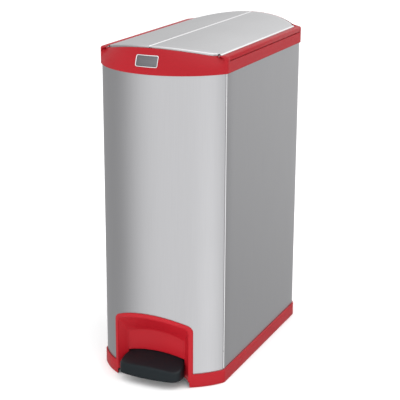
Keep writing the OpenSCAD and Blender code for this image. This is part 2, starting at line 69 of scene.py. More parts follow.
ring_low, ring_high = box_mm("base_ring")
wrap_low, wrap_high = box_mm("body_wrap")
cover_low, cover_high = box_mm("hinge_cover_right")
frame_low = box_mm("top_frame")[0]
skin_high = box_mm("lid_skin_right")[1]
tube_low, tube_high = box_mm("hinge_tube_right")
pad_low, pad_high = box_mm("pedal_pad")
surround_low, surround_high = box_mm("pedal_surround")
liner_low, liner_high = box_mm("liner")
spring_low, spring_high = box_mm("return_spring")
bezel_low, bezel_high = box_mm("badge_bezel")

# Plan of the body: how deep each end bows, and the radius of its corners
END_BOW = 103.4
FRONT_BOW = 89.4
HALF_W = ring_high[0]
HALF_L = ring_high[1]
BOW_R = arc_radius(HALF_W, END_BOW)
SIDE_END = HALF_L - END_BOW
FRONT_L = SIDE_END + FRONT_BOW
FRONT_R = arc_radius(HALF_W, FRONT_BOW)
CORNER_R = 15.0
# How far the steel sheet stands inside the plastic, and its thickness
SHEET_INSET = 3.4
SHEET_T = 1.0

LID_HW = tube_high[0]
LID_HL = skin_high[1]
LID_BOW = 68.4
LID_RISE = 20.6
LID_R = arc_radius(LID_HW, LID_BOW)
ARCH_R = arc_radius(LID_HW, LID_RISE)
ARCH_C = skin_high[2] - ARCH_R
TUBE_R = (tube_high[2] - tube_low[2]) / 2
HINGE_X = (tube_low[0] + tube_high[0]) / 2
HINGE_Z = (tube_low[2] + tube_high[2]) / 2

BAND_LOW = frame_low[2]
RAIL_TOP = cover_high[2]
COVER_LOW = cover_low[2]
# How far the frame's rim stands under the lid's arch at each end, and the gap round the lid
FRONT_SINK = 5.0
REAR_SINK = 0.5
LID_GAP = 2.0
# How the band leans in with height, and the rim's height over the face it stands on
BAND_POWER = 2.2
RIM_STEP = 1.3

# ---- Mesh helpers ----


def to_object(name, verts, faces, material, body, replaced=(), sharp=35.0):
    """A mesh piece from points in millimetres, riding on a CAD body."""
    mesh = bpy.data.meshes.new(name)
    bm = bmesh.new()
    made = [bm.verts.new(Vector(v) * MM) for v in verts]
    for face in faces:
        if len(set(face)) > 2:
            bm.faces.new([made[i] for i in face])
    bmesh.ops.remove_doubles(bm, verts=bm.verts, dist=0.004 * MM)
    bmesh.ops.dissolve_degenerate(bm, edges=bm.edges, dist=0.002 * MM)
    loose = [v for v in bm.verts if not v.link_faces]
    bmesh.ops.delete(bm, geom=loose, context="VERTS")
    bmesh.ops.recalc_face_normals(bm, faces=bm.faces)
    bm.to_mesh(mesh)
    bm.free()
    for polygon in mesh.polygons:
        polygon.use_smooth = True
    mesh.set_sharp_from_angle(angle=math.radians(sharp))
    obj = bpy.data.objects.new(name, mesh)
    bpy.context.scene.collection.objects.link(obj)
    mesh.materials.append(material)
    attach(obj, body)
    if replaced:
        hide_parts(*replaced)
    return obj


def grid_faces(rows, cols, wrap_rows=False, wrap_cols=False):
    """Quads of a grid of rows x cols points."""
    faces = []
    for r in range(rows if wrap_rows else rows - 1):
        here, above = r * cols, (r + 1) % rows * cols
        for c in range(cols if wrap_cols else cols - 1):
            beside = (c + 1) % cols
            faces.append([here + c, here + beside, above + beside, above + c])
    return faces


def loft(rings, closed_ring=True, closed_profile=False, cap=False):
    """Points and quads of a loft through rings of equal length, with optional end caps."""
    rings = [np.asarray(r, float) for r in rings]
    cols = len(rings[0])
    verts = [tuple(p) for r in rings for p in r]
    faces = grid_faces(len(rings), cols, closed_profile, closed_ring)
    if cap and closed_ring and not closed_profile:
        faces.append(list(range(cols)))
        faces.append(list(range((len(rings) - 1) * cols, len(rings) * cols)))
    if cap and closed_profile and not closed_ring:
        faces.append([r * cols for r in range(len(rings))])
        faces.append([r * cols + cols - 1 for r in range(len(rings))])
    return verts, faces


def solidify(obj, thickness, sharp=35.0):
    """Gives an open surface a wall on its back, in millimetres, as real mesh."""
    wall = obj.modifiers.new("wall", "SOLIDIFY")
    wall.thickness = thickness * MM
    wall.offset = -1.0
    made = bpy.data.meshes.new_from_object(obj.evaluated_get(bpy.context.evaluated_depsgraph_get()))
    obj.modifiers.clear()
    obj.data = made
    for polygon in made.polygons:
        polygon.use_smooth = True
    made.set_sharp_from_angle(angle=math.radians(sharp))
    return obj


def paint_edge_highlight(obj, test):
    """Paints a highlight along rounded edges: faces whose centre, in millimetres, passes the test get a
    brighter, glossier steel.
    """
    obj.data.materials.append(painted_edge_highlight)
    for polygon in obj.data.polygons:
        if test(*(polygon.center / MM)):
            polygon.material_index = 1


def tube(path, radius, sides=12, cap=True):
    """Rings of a round tube along a path of points."""
    path = np.asarray(path, float)
    ahead = np.gradient(path, axis=0)
    rings = []
    side = None
    for point, way in zip(path, ahead):
        way = way / np.linalg.norm(way)
        if side is None:
            side = np.cross(way, [0, 0, 1.0] if abs(way[2]) < 0.9 else [1.0, 0, 0])
        side = side - way * (side @ way)
        side = side / np.linalg.norm(side)
        up = np.cross(way, side)
        turn = np.linspace(0, 2 * math.pi, sides, endpoint=False)
        rings.append(point + radius * (np.outer(np.cos(turn), side) + np.outer(np.sin(turn), up)))
    return loft(rings, cap=cap)


# ---- Plan outlines ----

# Steps along an end bow, a corner and a side
N_BOW = 64
N_CORNER = 8
SIDE_STEPS = 12


def arc(centre, r, start, end, steps):
    """Plan points of an arc between two directions in radians, with 0 forwards and pi / 2 to the right."""
    x, y = centre
    return [(x + r * math.sin(a), y - r * math.cos(a)) for a in np.linspace(start, end, steps + 1)]


def bow_span(half_w, bow_r, corner_r):
    """Angle at which the end bow meets its corner arc."""
    return math.asin((half_w - corner_r) / (bow_r - corner_r))


def front_half(half_w, half_l, bow_r, corner_r, inset, from_x=None):
    """Front bow from x = from_x, or from the left corner, to the right corner, and that corner's arc."""
    centre = bow_r - half_l
    span = bow_span(half_w, bow_r, corner_r)
    r = bow_r - inset
    first = -span if from_x is None else math.asin(from_x / r)
    bow = arc((0, centre), r, first, span, N_BOW)
    fillet_y = centre - (bow_r - corner_r) * math.cos(span)
    fillet_r = max(corner_r - inset, 0.05)
    corner = arc((half_w - corner_r, fillet_y), fillet_r, span, math.pi / 2, N_CORNER)[1:]
    return bow, corner, fillet_y


def bowed(half_w, half_l, bow_r, corner_r, inset=0.0, side_ys=None, notch=None, front=None):
    """Plan outline with a bow at each end, anticlockwise from the front.

    With a notch, it is an open path round from +notch to -notch. Front is the half length and radius of
    a front bow of its own.
    """
    front_l, front_r = front or (half_l, bow_r)
    bow, corner, front_y = front_half(half_w, front_l, front_r, corner_r, inset, notch)
    rear_bow, rear_corner, rear_y = front_half(half_w, half_l, bow_r, corner_r, inset)
    ys = np.linspace(front_y, -rear_y, SIDE_STEPS + 1)[1:-1] if side_ys is None else side_ys
    side = corner + [(half_w - inset, y) for y in ys] + [(x, -y) for x, y in rear_corner[::-1]]
    rear = [(-x, -y) for x, y in rear_bow]
    path = bow + side + rear + [(-x, y) for x, y in side[::-1]]
    if notch is not None:
        path += [(-x, y) for x, y in bow[::-1]]
    return np.array(path)


def body_plan(inset=0.0, **more):
    """Plan outline of the body, with its shallower bow at the front."""
    return bowed(HALF_W, HALF_L, BOW_R, CORNER_R, inset, front=(FRONT_L, FRONT_R), **more)


def raised(outline, z):
    """Plan points at height z, which is a number or one value a point."""
    outline = np.asarray(outline, float)
    return np.column_stack([outline, np.broadcast_to(z, len(outline))])


def rounded(inset, z, r, start, end, steps=5):
    """(inset, z) points of an arc of radius r, from start to end in degrees, with 0 outwards and 90 up."""
    angles = np.radians(np.linspace(start, end, steps))
    return [(inset - r * math.cos(a), z + r * math.sin(a)) for a in angles]


def smooth(t):
    """Eases t from 0 to 1."""
    t = np.clip(t, 0.0, 1.0)
    return t * t * (3 - 2 * t)


def arch_z(x, drop=0.0):
    """Height of the lid's arched surface at x, lowered by drop."""
    return ARCH_C + np.sqrt((ARCH_R - drop) ** 2 - np.minimum(np.abs(x), LID_HW + 6) ** 2)


def bow_y(x, inset=0.0):
    """How far out the body's front bow is at x."""
    return FRONT_L - FRONT_R + np.sqrt((FRONT_R - inset) ** 2 - np.asarray(x, float) ** 2)


def lid_y(x, grow=0.0):
    """How far out the lid's bow is at x, grown by grow."""
    return LID_HL - LID_R + np.sqrt((LID_R + grow) ** 2 - np.asarray(x, float) ** 2)


# ---- Materials ----


class Nodes:
    """Short way to build a material's node tree."""

    def __init__(self, name):
        """Starts a material with its shader and the piece's own coordinates."""
        self.material = bpy.data.materials.new(name)
        self.material.use_nodes = True
        self.tree = self.material.node_tree
        self.shader = self.tree.nodes["Principled BSDF"]
        self.coords = self.tree.nodes.new("ShaderNodeTexCoord").outputs["Object"]

    def link(self, out, socket):
        """Joins an output to a socket."""
        self.tree.links.new(out, socket)

    def noise(self, scale, detail=3.0, stretch=(1, 1, 1)):
        """Noise of that scale, stretched along the axes."""
        mapping = self.tree.nodes.new("ShaderNodeMapping")
        mapping.inputs["Scale"].default_value = stretch
        self.link(self.coords, mapping.inputs["Vector"])
        node = self.tree.nodes.new("ShaderNodeTexNoise")
        node.inputs["Scale"].default_value = scale
        node.inputs["Detail"].default_value = detail
        self.link(mapping.outputs["Vector"], node.inputs["Vector"])
        return node.outputs["Fac"]

    def ramp(self, fac, stops):
        """Colour from a value, by (position, colour) stops."""
        node = self.tree.nodes.new("ShaderNodeValToRGB")
        elements = node.color_ramp.elements
        while len(elements) < len(stops):
            elements.new(0.5)
        for element, (at, colour) in zip(elements, stops):
            element.position = at
            element.color = (*colour, 1.0)
        self.link(fac, node.inputs["Fac"])
        return node.outputs["Color"]

    def spread(self, fac, low, high, out_low, out_high):
        """A value mapped from low..high to out_low..out_high."""
        node = self.tree.nodes.new("ShaderNodeMapRange")
        for name, value in zip(("From Min", "From Max", "To Min", "To Max"), (low, high, out_low, out_high)):
            node.inputs[name].default_value = value
        self.link(fac, node.inputs["Value"])
        return node.outputs["Result"]

    def bump(self, height, strength, distance):
        """Adds relief of that depth in millimetres to what the shader has."""
        node = self.tree.nodes.new("ShaderNodeBump")
        node.inputs["Strength"].default_value = strength
        node.inputs["Distance"].default_value = distance * MM
        self.link(height, node.inputs["Height"])
        previous = self.shader.inputs["Normal"]
        if previous.is_linked:
            self.link(previous.links[0].from_socket, node.inputs["Normal"])
        self.link(node.outputs["Normal"], previous)


def shade(colour, factor):
    """A lighter or darker colour."""
    return tuple(min(1.0, c * factor) for c in colour)


def plastic(name, colour, roughness=0.4, grain=1800.0, grain_depth=0.03, vary=0.05, gloss=0.2):
    """Moulded plastic: fine spark-eroded grain, faint flow variation and scuffs in the gloss."""
    n = Nodes(name)
    flow = n.noise(5.0, 2.0)
    n.link(n.ramp(flow, [(0.3, shade(colour, 1 - vary)), (0.7, shade(colour, 1 + vary))]),
           n.shader.inputs["Base Color"])
    scuff = n.noise(60.0, 6.0, (1, 1, 3))
    n.link(n.spread(scuff, 0.35, 0.75, roughness - 0.04, roughness + 0.06), n.shader.inputs["Roughness"])
    n.bump(n.noise(grain, 2.0), 0.25, grain_depth)
    n.bump(n.noise(18.0, 1.0), 0.15, 0.15)
    n.shader.inputs["Specular IOR Level"].default_value = gloss
    return n.material


def brushed(name, colour, roughness=0.32, along="z", vary=0.02, depth=0.004, blotch=0.02):
    """Brushed metal: long fine lines along one axis in colour, gloss and bump."""
    n = Nodes(name)
    n.shader.inputs["Metallic"].default_value = 1.0
    stretch = [900.0, 900.0, 900.0]
    stretch["xyz".index(along)] = 9.0
    lines = n.noise(1.0, 3.0, stretch)
    n.link(n.ramp(lines, [(0.3, shade(colour, 1 - vary)), (0.7, shade(colour, 1 + vary))]),
           n.shader.inputs["Base Color"])
    broad = n.noise(7.0, 2.0)
    n.link(n.spread(broad, 0.3, 0.7, roughness - blotch, roughness + blotch), n.shader.inputs["Roughness"])
    n.bump(lines, 0.3, depth)
    return n.material


def zinc(name, colour, roughness=0.38):
    """Zinc-plated steel with its faint crystal mottle."""
    n = Nodes(name)
    n.shader.inputs["Metallic"].default_value = 1.0
    mottle = n.noise(140.0, 4.0)
    n.link(n.ramp(mottle, [(0.35, shade(colour, 0.86)), (0.65, shade(colour, 1.1))]),
           n.shader.inputs["Base Color"])
    n.link(n.spread(mottle, 0.3, 0.7, roughness - 0.08, roughness + 0.1), n.shader.inputs["Roughness"])
    n.bump(n.noise(700.0, 3.0), 0.2, 0.01)
    return n.material


RED = (0.315, 0.006, 0.012)
BLACK = (0.010, 0.010, 0.011)
STEEL = (0.56, 0.56, 0.575)
LID_STEEL = (0.60, 0.60, 0.61)
ZINC = (0.46, 0.47, 0.48)

red = plastic("red_moulding", RED, 0.42)
black = plastic("black_moulding", BLACK, 0.42, grain_depth=0.05)
pedal_black = plastic("pedal_moulding", (0.005, 0.008, 0.010), 0.45, grain=700.0, grain_depth=0.08)
rubber = plastic("black_rubber", (0.012, 0.012, 0.012), 0.75, grain=900.0, grain_depth=0.08)
grey = plastic("grey_moulding", (0.13, 0.135, 0.14), 0.5)
nylon = plastic("natural_nylon", (0.62, 0.60, 0.53), 0.38)
steel = brushed("body_steel", STEEL, 0.34, "z")
lid_steel = brushed("lid_steel", LID_STEEL, 0.36, "y")
plated = zinc("zinc_plate", ZINC)
# Painted highlight: a brighter, glossier steel for the rounded edges and folds
painted_edge_highlight = brushed("painted_edge_highlight", (0.90, 0.90, 0.91), 0.24, "y", 0.01, 0.002)
bright = brushed("bright_trim", (0.82, 0.82, 0.83), 0.16, "x", 0.02, 0.003)
badge_face = brushed("badge_face", (0.17, 0.17, 0.18), 0.3, "x", 0.1, 0.006)

# ---- CAD nodes that keep their shape ----

KEPT = {
    "base_tray": black, "rubber_feet": rubber, "liner_deck": black, "hinge_rod_left": plated,
    "hinge_rod_right": plated, "lid_pan_left": black, "lid_pan_right": black, "crank_left": plated,
    "crank_right": plated, "pedal_lever": plated, "pedal_axle": plated, "axle_bushes": nylon,
    "axle_brackets": plated, "push_rod": plated, "rod_foot": nylon, "rod_collar": plated,
    "lift_bar": plated, "yoke_left": plated, "yoke_right": plated, "rod_guide_lower": black,
    "rod_guide_upper": black, "damper_cylinder": black, "damper_rod": bright, "damper_clamp": plated,
    "damper_bracket": black, "tray_screws": plated, "bracket_screws": plated, "guide_rivets": steel,
}


def dress_kept_nodes():
    """Puts a material on every CAD node that is shown as it is."""
    for name, material in KEPT.items():
        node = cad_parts[name]
        node.data.materials.clear()
        node.data.materials.append(material)


# ---- Base ring ----

BASE_NOTCH_HW = 98.0


def base_ring():
    """Red skirt round the foot, with soft edges and a gap for the pedal surround."""
    notch = BASE_NOTCH_HW
    low, high, wall, edge = ring_low[2], ring_high[2], 3.0, 1.2
    profile = [(wall, low), (wall - 0.6, low)]
    profile += rounded(0.8, low + 0.8, 0.8, -90, 0, 4)
    profile += rounded(edge, high - edge, edge, 0, 90, 5)
    profile += [(wall - 0.3, high), (wall, high - 0.3)]
    rings = [raised(body_plan(i, notch=notch), z) for i, z in profile]
    verts, faces = loft(rings, closed_ring=False, closed_profile=True, cap=True)
    return to_object("base_ring_skirt", verts, faces, red, "bin", ["base_ring"])


# ---- Steel body ----

# The folded edges at the front corners: radius, depth, and half the gap between them
FOLD_R = 1.8
FOLD_IN = 5.0
HALF_SEAM = 1.3
FRONT_SPAN = bow_span(HALF_W, FRONT_R, CORNER_R)
# Direction faced by the side sheet's front edge and by the front panel's edge, in radians
SIDE_EDGE = math.pi / 2
PANEL_EDGE = SIDE_EDGE - 2 * (HALF_SEAM + FOLD_R) / (CORNER_R - SHEET_INSET)


def corner_point(angle, inset=SHEET_INSET):
    """Point on the front bow, or past its end on the right corner's arc, by the direction it faces."""
    centre_y = FRONT_R - FRONT_L
    if angle <= FRONT_SPAN:
        r = FRONT_R - inset
        return np.array([r * math.sin(angle), centre_y - r * math.cos(angle)])
    r = CORNER_R - inset
    fillet_y = centre_y - (FRONT_R - CORNER_R) * math.cos(FRONT_SPAN)
    return np.array([HALF_W - CORNER_R + r * math.sin(angle), fillet_y - r * math.cos(angle)])


def fold(angle, turn, steps=6):
    """Plan points that turn a sheet's edge inwards at that angle, towards the rear (1) or the front (-1)."""
    outward = np.array([math.sin(angle), -math.cos(angle)])
    along = np.array([math.cos(angle), math.sin(angle)]) * turn
    centre = corner_point(angle) - outward * FOLD_R
    turned = [centre + FOLD_R * (outward * math.cos(a) + along * math.sin(a))
              for a in np.linspace(0, math.pi / 2, steps + 1)]
    return turned + [turned[-1] - outward * FOLD_IN]


def body_wrap():
    """One sheet round both sides and the rear, folded in at the two front corners."""
    whole = body_plan(SHEET_INSET)
    first = N_BOW + 1 + N_CORNER
    right = whole[first:first + SIDE_STEPS - 1 + N_CORNER]
    rear = [(-x, -y) for x, y in front_half(HALF_W, HALF_L, BOW_R, CORNER_R, SHEET_INSET)[0]]
    half = [tuple(p) for p in fold(SIDE_EDGE, -1)[::-1]] + [tuple(p) for p in right]
    path = np.array(half + rear + [(-x, y) for x, y in half[::-1]])
    levels = np.linspace(wrap_low[2], wrap_high[2], 9)
    verts, faces = loft([raised(path, z) for z in levels], closed_ring=False)
    obj = to_object("body_wrap_sheet", verts, faces, steel, "bin", ["body_wrap"])
    solidify(obj, SHEET_T)
    edge_y = corner_point(SIDE_EDGE)[1]
    # Painted highlight on the faces of the folded front edges
    paint_edge_highlight(obj, lambda x, y, z: y < edge_y + 0.2 and abs(x) > HALF_W - SHEET_INSET - FOLD_R - 0.2)
    return obj


# The pedal recess: its mouth, the flange round it and the hole in the front sheet behind the flange
MOUTH_HW = 94.5
MOUTH_TOP = 171.5
MOUTH_ARCH = 208.0
FLANGE_HW = surround_high[0]
FLANGE_TOP = surround_high[2]
HOLE_HW = 100.5
HOLE_TOP = FLANGE_TOP - 3.5
HOLE_ROUND = 16.0


def arched_top(x, top):
    """Height of an arched top edge at x."""
    return top - MOUTH_ARCH + math.sqrt(MOUTH_ARCH ** 2 - x * x)


def hole_edge(x):
    """Height of the arched hole in the front sheet at x, with its rounded corners."""
    x = min(abs(x), HOLE_HW)
    past = max(0.0, x - HOLE_HW + HOLE_ROUND)
    return arched_top(x, HOLE_TOP) - HOLE_ROUND + math.sqrt(HOLE_ROUND ** 2 - past ** 2)


def front_panel():
    """Bowed front sheet with folded side edges and an arched cut-out behind the surround's flange."""
    low, top = wrap_low[2], wrap_high[2]
    hole = math.asin(HOLE_HW / (FRONT_R - SHEET_INSET))
    angles = [*np.linspace(hole, FRONT_SPAN, 12), *np.linspace(FRONT_SPAN, PANEL_EDGE, 4)[1:-1]]
    right = [corner_point(a) for a in angles] + fold(PANEL_EDGE, 1)
    rise = np.linspace(0, 1, 8)
    shoulder = hole_edge(HOLE_HW)
    levels = [*np.linspace(low, shoulder, 4)[:-1], *(shoulder + rise * (top - shoulder))]
    sheets = [[[(side * x, y, z) for z in levels] for x, y in right] for side in (1, -1)]
    middle = []
    for angle in np.linspace(-hole, hole, 61):
        x, y = corner_point(angle)
        base = hole_edge(x)
        middle.append([(x, y, z) for z in base + rise * (top - base)])
    verts, faces = [], []
    for columns in [*sheets, middle]:
        more, quads = loft(columns, closed_ring=False)
        faces += [[len(verts) + i for i in q] for q in quads]
        verts += more
    obj = to_object("front_panel_sheet", verts, faces, steel, "bin", ["front_panel"])
    return solidify(obj, SHEET_T)


# ---- Top frame ----

# Clearance and groove round the hinge covers, the rails' outer radius, the wall and the lip over the rim
COVER_CLEAR = 0.4
GROOVE = 1.0
RAIL_ROUND = 4.0
FRAME_WALL = 3.0
LIP = 3.2
FACE_ROWS = 16


def frame_stations():
    """Frame outline, its inward step, the lid opening and the hinge covers' cut-outs, station by station."""
    cut = cover_high[1] + COVER_CLEAR / 2
    ys = [-cut, -cut, *np.linspace(-cut, cut, 9)[1:-1], cut, cut]
    outer = [body_plan(inset, side_ys=ys) for inset in (0.0, 1.0)]
    opening = bowed(LID_HW + LID_GAP, LID_HL + LID_GAP, LID_R + LID_GAP, 2.5, 0.0, side_ys=ys)
    first = N_BOW + 1 + N_CORNER + 1
    half = len(opening) // 2
    marked = np.zeros(len(opening), bool)
    for start in (first, first + half):
        marked[start:start + len(ys) - 2] = True
    return outer[0], outer[1] - outer[0], opening, marked


def frame_profile(base, inward, edge, cut):
    """Closed cross-section of the frame at one station."""
    x, y = base
    end_share = 1 - smooth((abs(x) - (LID_HW + 4)) / (HALF_W - LID_HW - 6))
    sign = 1 if y > 0 else -1
    sink = REAR_SINK if y > 0 else FRONT_SINK
    on_bow = abs(x) < HALF_W - 1.5
    lip_x = min(abs(x), LID_HW + 8)
    lean = max(0.0, abs(y) - max(lid_y(lip_x, LID_GAP + LIP), SIDE_END)) if on_bow else 0.0
    lean *= end_share if on_bow else 0.0
    rail_face_top = RAIL_TOP - RAIL_ROUND
    bow_top = max(float(arch_z(x, sink)) - RIM_STEP, rail_face_top) if on_bow else rail_face_top
    side_top = COVER_LOW - 1.2 - GROOVE
    face_top = side_top + (bow_top - side_top) * end_share
    foot = ((FRAME_WALL, 0.0), (1.0, 0.0), (0.3, 0.25), (0.0, 0.9))
    rows = [(base + inward * i, BAND_LOW + z) for i, z in foot]
    for t in np.linspace(0.03, 1, FACE_ROWS):
        leant = base + np.array([0, -sign * lean * t ** BAND_POWER])
        rows.append((leant, BAND_LOW + t * (face_top - BAND_LOW)))
    tip = rows[-1][0]
    # Bead round the opening: a short step, then a half round down to the opening's edge
    rim_z = float(arch_z(edge[0], sink)) if on_bow else RAIL_TOP
    rim_z = max(rim_z, RAIL_TOP)
    away = tip - edge
    away = away / max(np.linalg.norm(away), 1e-6)
    half_round = ((2.6, 0.65), (2.1, 0.15), (1.4, 0.0), (0.7, 0.15), (0.2, 0.7), (0.0, 1.4))
    bead = [(tip * 0.9 + edge * 0.1, bow_top + 0.1)]
    bead += [(edge + away * out, rim_z - drop) for out, drop in half_round]
    top = COVER_LOW - COVER_CLEAR - GROOVE if cut else RAIL_TOP
    r = 0.5 if cut else RAIL_ROUND
    rail = [(base + inward * r * (1 - math.cos(a)), top - r + r * math.sin(a))
            for a in np.linspace(0, math.pi / 2, 4)]
    rail += [(edge - inward * 0.8, top), (edge - inward * 0.2, top - 0.2), (edge, top - 1.0)]
    rows += [(b[0] * end_share + s[0] * (1 - end_share), b[1] * end_share + s[1] * (1 - end_share))
             for b, s in zip(bead, rail)]
    roof = (rim_z - 6) * end_share + (top - 3) * (1 - end_share)
    low = BAND_LOW + 3
    curb = edge + (away if end_share > 0.5 else -inward) * 2.5
    inner = base + inward * FRAME_WALL
    rows += [(edge, low), (curb, low), (curb, roof), (inner + np.array([0, -sign * lean * 0.78]), roof),
             (inner + np.array([0, -sign * lean * 0.1]), BAND_LOW + 20)]
    return [(p[0], p[1], z) for p, z in rows]


def top_frame():
    """Red frame: a band that leans in at each end, rails along the sides and a bead round the lid."""
    outer, inward, opening, marked = frame_stations()
    profiles = [frame_profile(b, n, e, c) for b, n, e, c in zip(outer, inward, opening, marked)]
    verts, faces = loft(profiles, closed_ring=True, closed_profile=True)
    return to_object("top_frame_moulding", verts, faces, red, "bin", ["top_frame"], sharp=38)


def hinge_cover(side):
    """Cover strip over one hinge with a rounded outer edge and soft ends."""
    name = "left" if side < 0 else "right"
    x0, x1 = cover_low[0], cover_high[0]
    z0, z1 = cover_low[2], cover_high[2]
    profile = [(x0, z0), (x0, z1 - 1.2), (x0 + 0.35, z1 - 0.35), (x0 + 1.2, z1)]
    profile += [(x1 - RAIL_ROUND + RAIL_ROUND * math.sin(a), z1 - RAIL_ROUND + RAIL_ROUND * math.cos(a))
                for a in np.linspace(0, math.pi / 2, 8)]
    profile += [(x1, z0 + 1.5), (x1 - 0.4, z0 + 0.5), (x1 - 1.4, z0)]
    mid = np.array([(x0 + x1) / 2, (z0 + z1) / 2])
    half = cover_high[1] + COVER_CLEAR / 2 - 0.06
    stations = [(-half, 0.5), (-half + 0.15, 0.15), (-half + 0.5, 0.0), (0.0, 0.0), (half - 0.5, 0.0),
                (half - 0.15, 0.15), (half, 0.5)]
    rings = []
    for y, pull in stations:
        ring = []
        for x, z in profile:
            way = mid - np.array([x, z])
            x, z = np.array([x, z]) + way / np.linalg.norm(way) * pull
            ring.append((side * x, y, z))
        rings.append(ring)
    verts, faces = loft(rings, closed_ring=True, cap=True)
    return to_object(f"hinge_cover_{name}_strip", verts, faces, red, "bin", [f"hinge_cover_{name}"])


# ---- Lid leaves ----

# Rounding along the seam and at the ends, half the gap of the seam, and how far the ends are turned down
SEAM_R = 2.6
EDGE_R = 1.6
LEAF_GAP = 0.5
FLANGE_DOWN = 8.0
LEAF_T = 0.6
# Where a leaf is cut off at its hinge corner, and where its roll ends, in degrees from straight up
CORNER_Y = 238.6
CORNER_X = HINGE_X - 3.5
ROLL_END = 125
# Nearest place to the hinge at which a leaf's half length is still taken from its outline
ROLL_X = HINGE_X + 1.2


def leaf_end(x):
    """Half length of a leaf at x, cut off at its hinge corner to clear the frame as it opens."""
    return min(float(lid_y(x)), CORNER_Y + max(0.0, CORNER_X - x) * 2.6)


def lid_skin(side):
    """One arched leaf: rolled over its hinge tube, rounded along the seam and turned down at both ends."""
    name = "left" if side < 0 else "right"
    roll_from = math.asin(HINGE_X / (ARCH_R - TUBE_R))
    columns = []
    seam_x = LEAF_GAP + SEAM_R
    seam_z = float(arch_z(seam_x)) - SEAM_R
    columns.append((LEAF_GAP, seam_z - 5.5, LEAF_GAP))
    for a in np.linspace(-math.pi / 2, 0, 7):
        columns.append((seam_x + SEAM_R * math.sin(a), seam_z + SEAM_R * math.cos(a), seam_x))
    for x in np.linspace(seam_x, HINGE_X + TUBE_R * math.sin(roll_from), 40)[1:]:
        columns.append((x, float(arch_z(x)), x))
    for a in np.linspace(roll_from, math.radians(ROLL_END), 12)[1:]:
        columns.append((HINGE_X + TUBE_R * math.sin(a), HINGE_Z + TUBE_R * math.cos(a), ROLL_X))
    ends = [(-FLANGE_DOWN, 0.0), (-FLANGE_DOWN / 2, 0.0)]
    ends += [(-EDGE_R + EDGE_R * math.sin(a), EDGE_R - EDGE_R * math.cos(a))
             for a in np.linspace(0, math.pi / 2, 5)]
    rows = []
    for x, z, at in columns:
        half = leaf_end(min(at, ROLL_X))
        # The turned-down end is cut back beside the seam and stops before the roll
        share = (0.2 + 0.8 * float(smooth((x - LEAF_GAP) / 6.0))) * float(smooth((CORNER_X - x) / 3.0))
        line = []
        for drop, back in ends:
            line.append((side * x, -half + back, z + drop * share))
        for y in np.linspace(-half + EDGE_R, half - EDGE_R, 26)[1:-1]:
            line.append((side * x, y, z))
        for drop, back in ends[::-1]:
            line.append((side * x, half - back, z + drop * share))
        rows.append(line)
    verts, faces = loft(rows, closed_ring=False)
    obj = to_object(f"lid_skin_{name}_sheet", verts, faces, lid_steel, f"leaf_{name}", [f"lid_skin_{name}"],
                    sharp=50)
    solidify(obj, LEAF_T)
    # Painted highlight along the seam's rounding and over the hinge roll
    paint_edge_highlight(obj, lambda x, y, z: z > float(arch_z(x)) - EDGE_R - 0.1 and (
        abs(x) < LEAF_GAP + SEAM_R or abs(x) > HINGE_X + 0.8))
    return obj


def hinge_tube(side):
    """Tube inside the rolled edge, with bevelled ends, open for its rod."""
    name = "left" if side < 0 else "right"
    outer, inner, half = TUBE_R - 0.7, 2.6, tube_high[1]
    profile = [(outer, -half + 0.4), (outer, half - 0.4), (outer - 0.4, half), (inner, half), (inner, -half),
               (outer - 0.4, -half)]
    turn = np.linspace(0, 2 * math.pi, 32, endpoint=False)
    rings = [[(side * HINGE_X + r * math.cos(a), y, HINGE_Z + r * math.sin(a)) for a in turn]
             for r, y in profile]
    verts, faces = loft(rings, closed_ring=True, closed_profile=True)
    return to_object(f"hinge_tube_{name}_drawn", verts, faces, lid_steel, f"leaf_{name}",
                     [f"hinge_tube_{name}"])


# ---- Pedal surround ----


def mouth_line(half, top, round_r, low, steps=10, across=36):
    """XZ points up one side, over the arched top and down the other, with rounded corners."""
    shoulder_x = half - round_r
    arc_r = MOUTH_ARCH - round_r
    centre_z = top - MOUTH_ARCH
    fillet_z = centre_z + math.sqrt(arc_r ** 2 - shoulder_x ** 2)
    start = math.asin(shoulder_x / arc_r)
    left = [(-half, z) for z in np.linspace(low, fillet_z, 9)]
    left += [(-shoulder_x - round_r * math.cos(a), fillet_z + round_r * math.sin(a))
             for a in np.linspace(0, math.pi / 2 - start, steps)[1:]]
    arch = [(MOUTH_ARCH * math.sin(a), centre_z + MOUTH_ARCH * math.cos(a))
            for a in np.linspace(-start, start, across)[1:-1]]
    return np.array(left + arch + [(-x, z) for x, z in left[::-1]])


# The recess's upright back wall
RECESS_Y = 285.0
RECESS_HW = 77.0
RECESS_TOP = 127.0
# The pad's crowned, sloping top: its height at its front edge and at the back wall, and the slot's clearance
PAD_CROWN_R = 300.0
PAD_SLOPE = math.tan(math.radians(16))
PAD_EDGE_Z = 54.0
PAD_EDGE_Y = HALF_L - 6
PAD_BACK_Z = PAD_EDGE_Z + (PAD_EDGE_Y - RECESS_Y) * PAD_SLOPE
PAD_CLEAR = 2.0


def slot_z(x):
    """Height of the slot's crowned top edge at x."""
    return PAD_BACK_Z + PAD_CLEAR - PAD_CROWN_R + math.sqrt(PAD_CROWN_R ** 2 - x * x)


def slot_line(back, low):
    """The edge of the back wall over the pad's slot, point for point with the recess's back outline."""
    half = RECESS_HW - 1
    corner = slot_z(half)
    top = back[:, 1].max()
    line = []
    for x, z in back:
        if abs(x) > half:
            line.append((math.copysign(half, x), low + (z - low) / (top - low) * (corner - low)))
        else:
            line.append((x, slot_z(x)))
    return np.array(line)


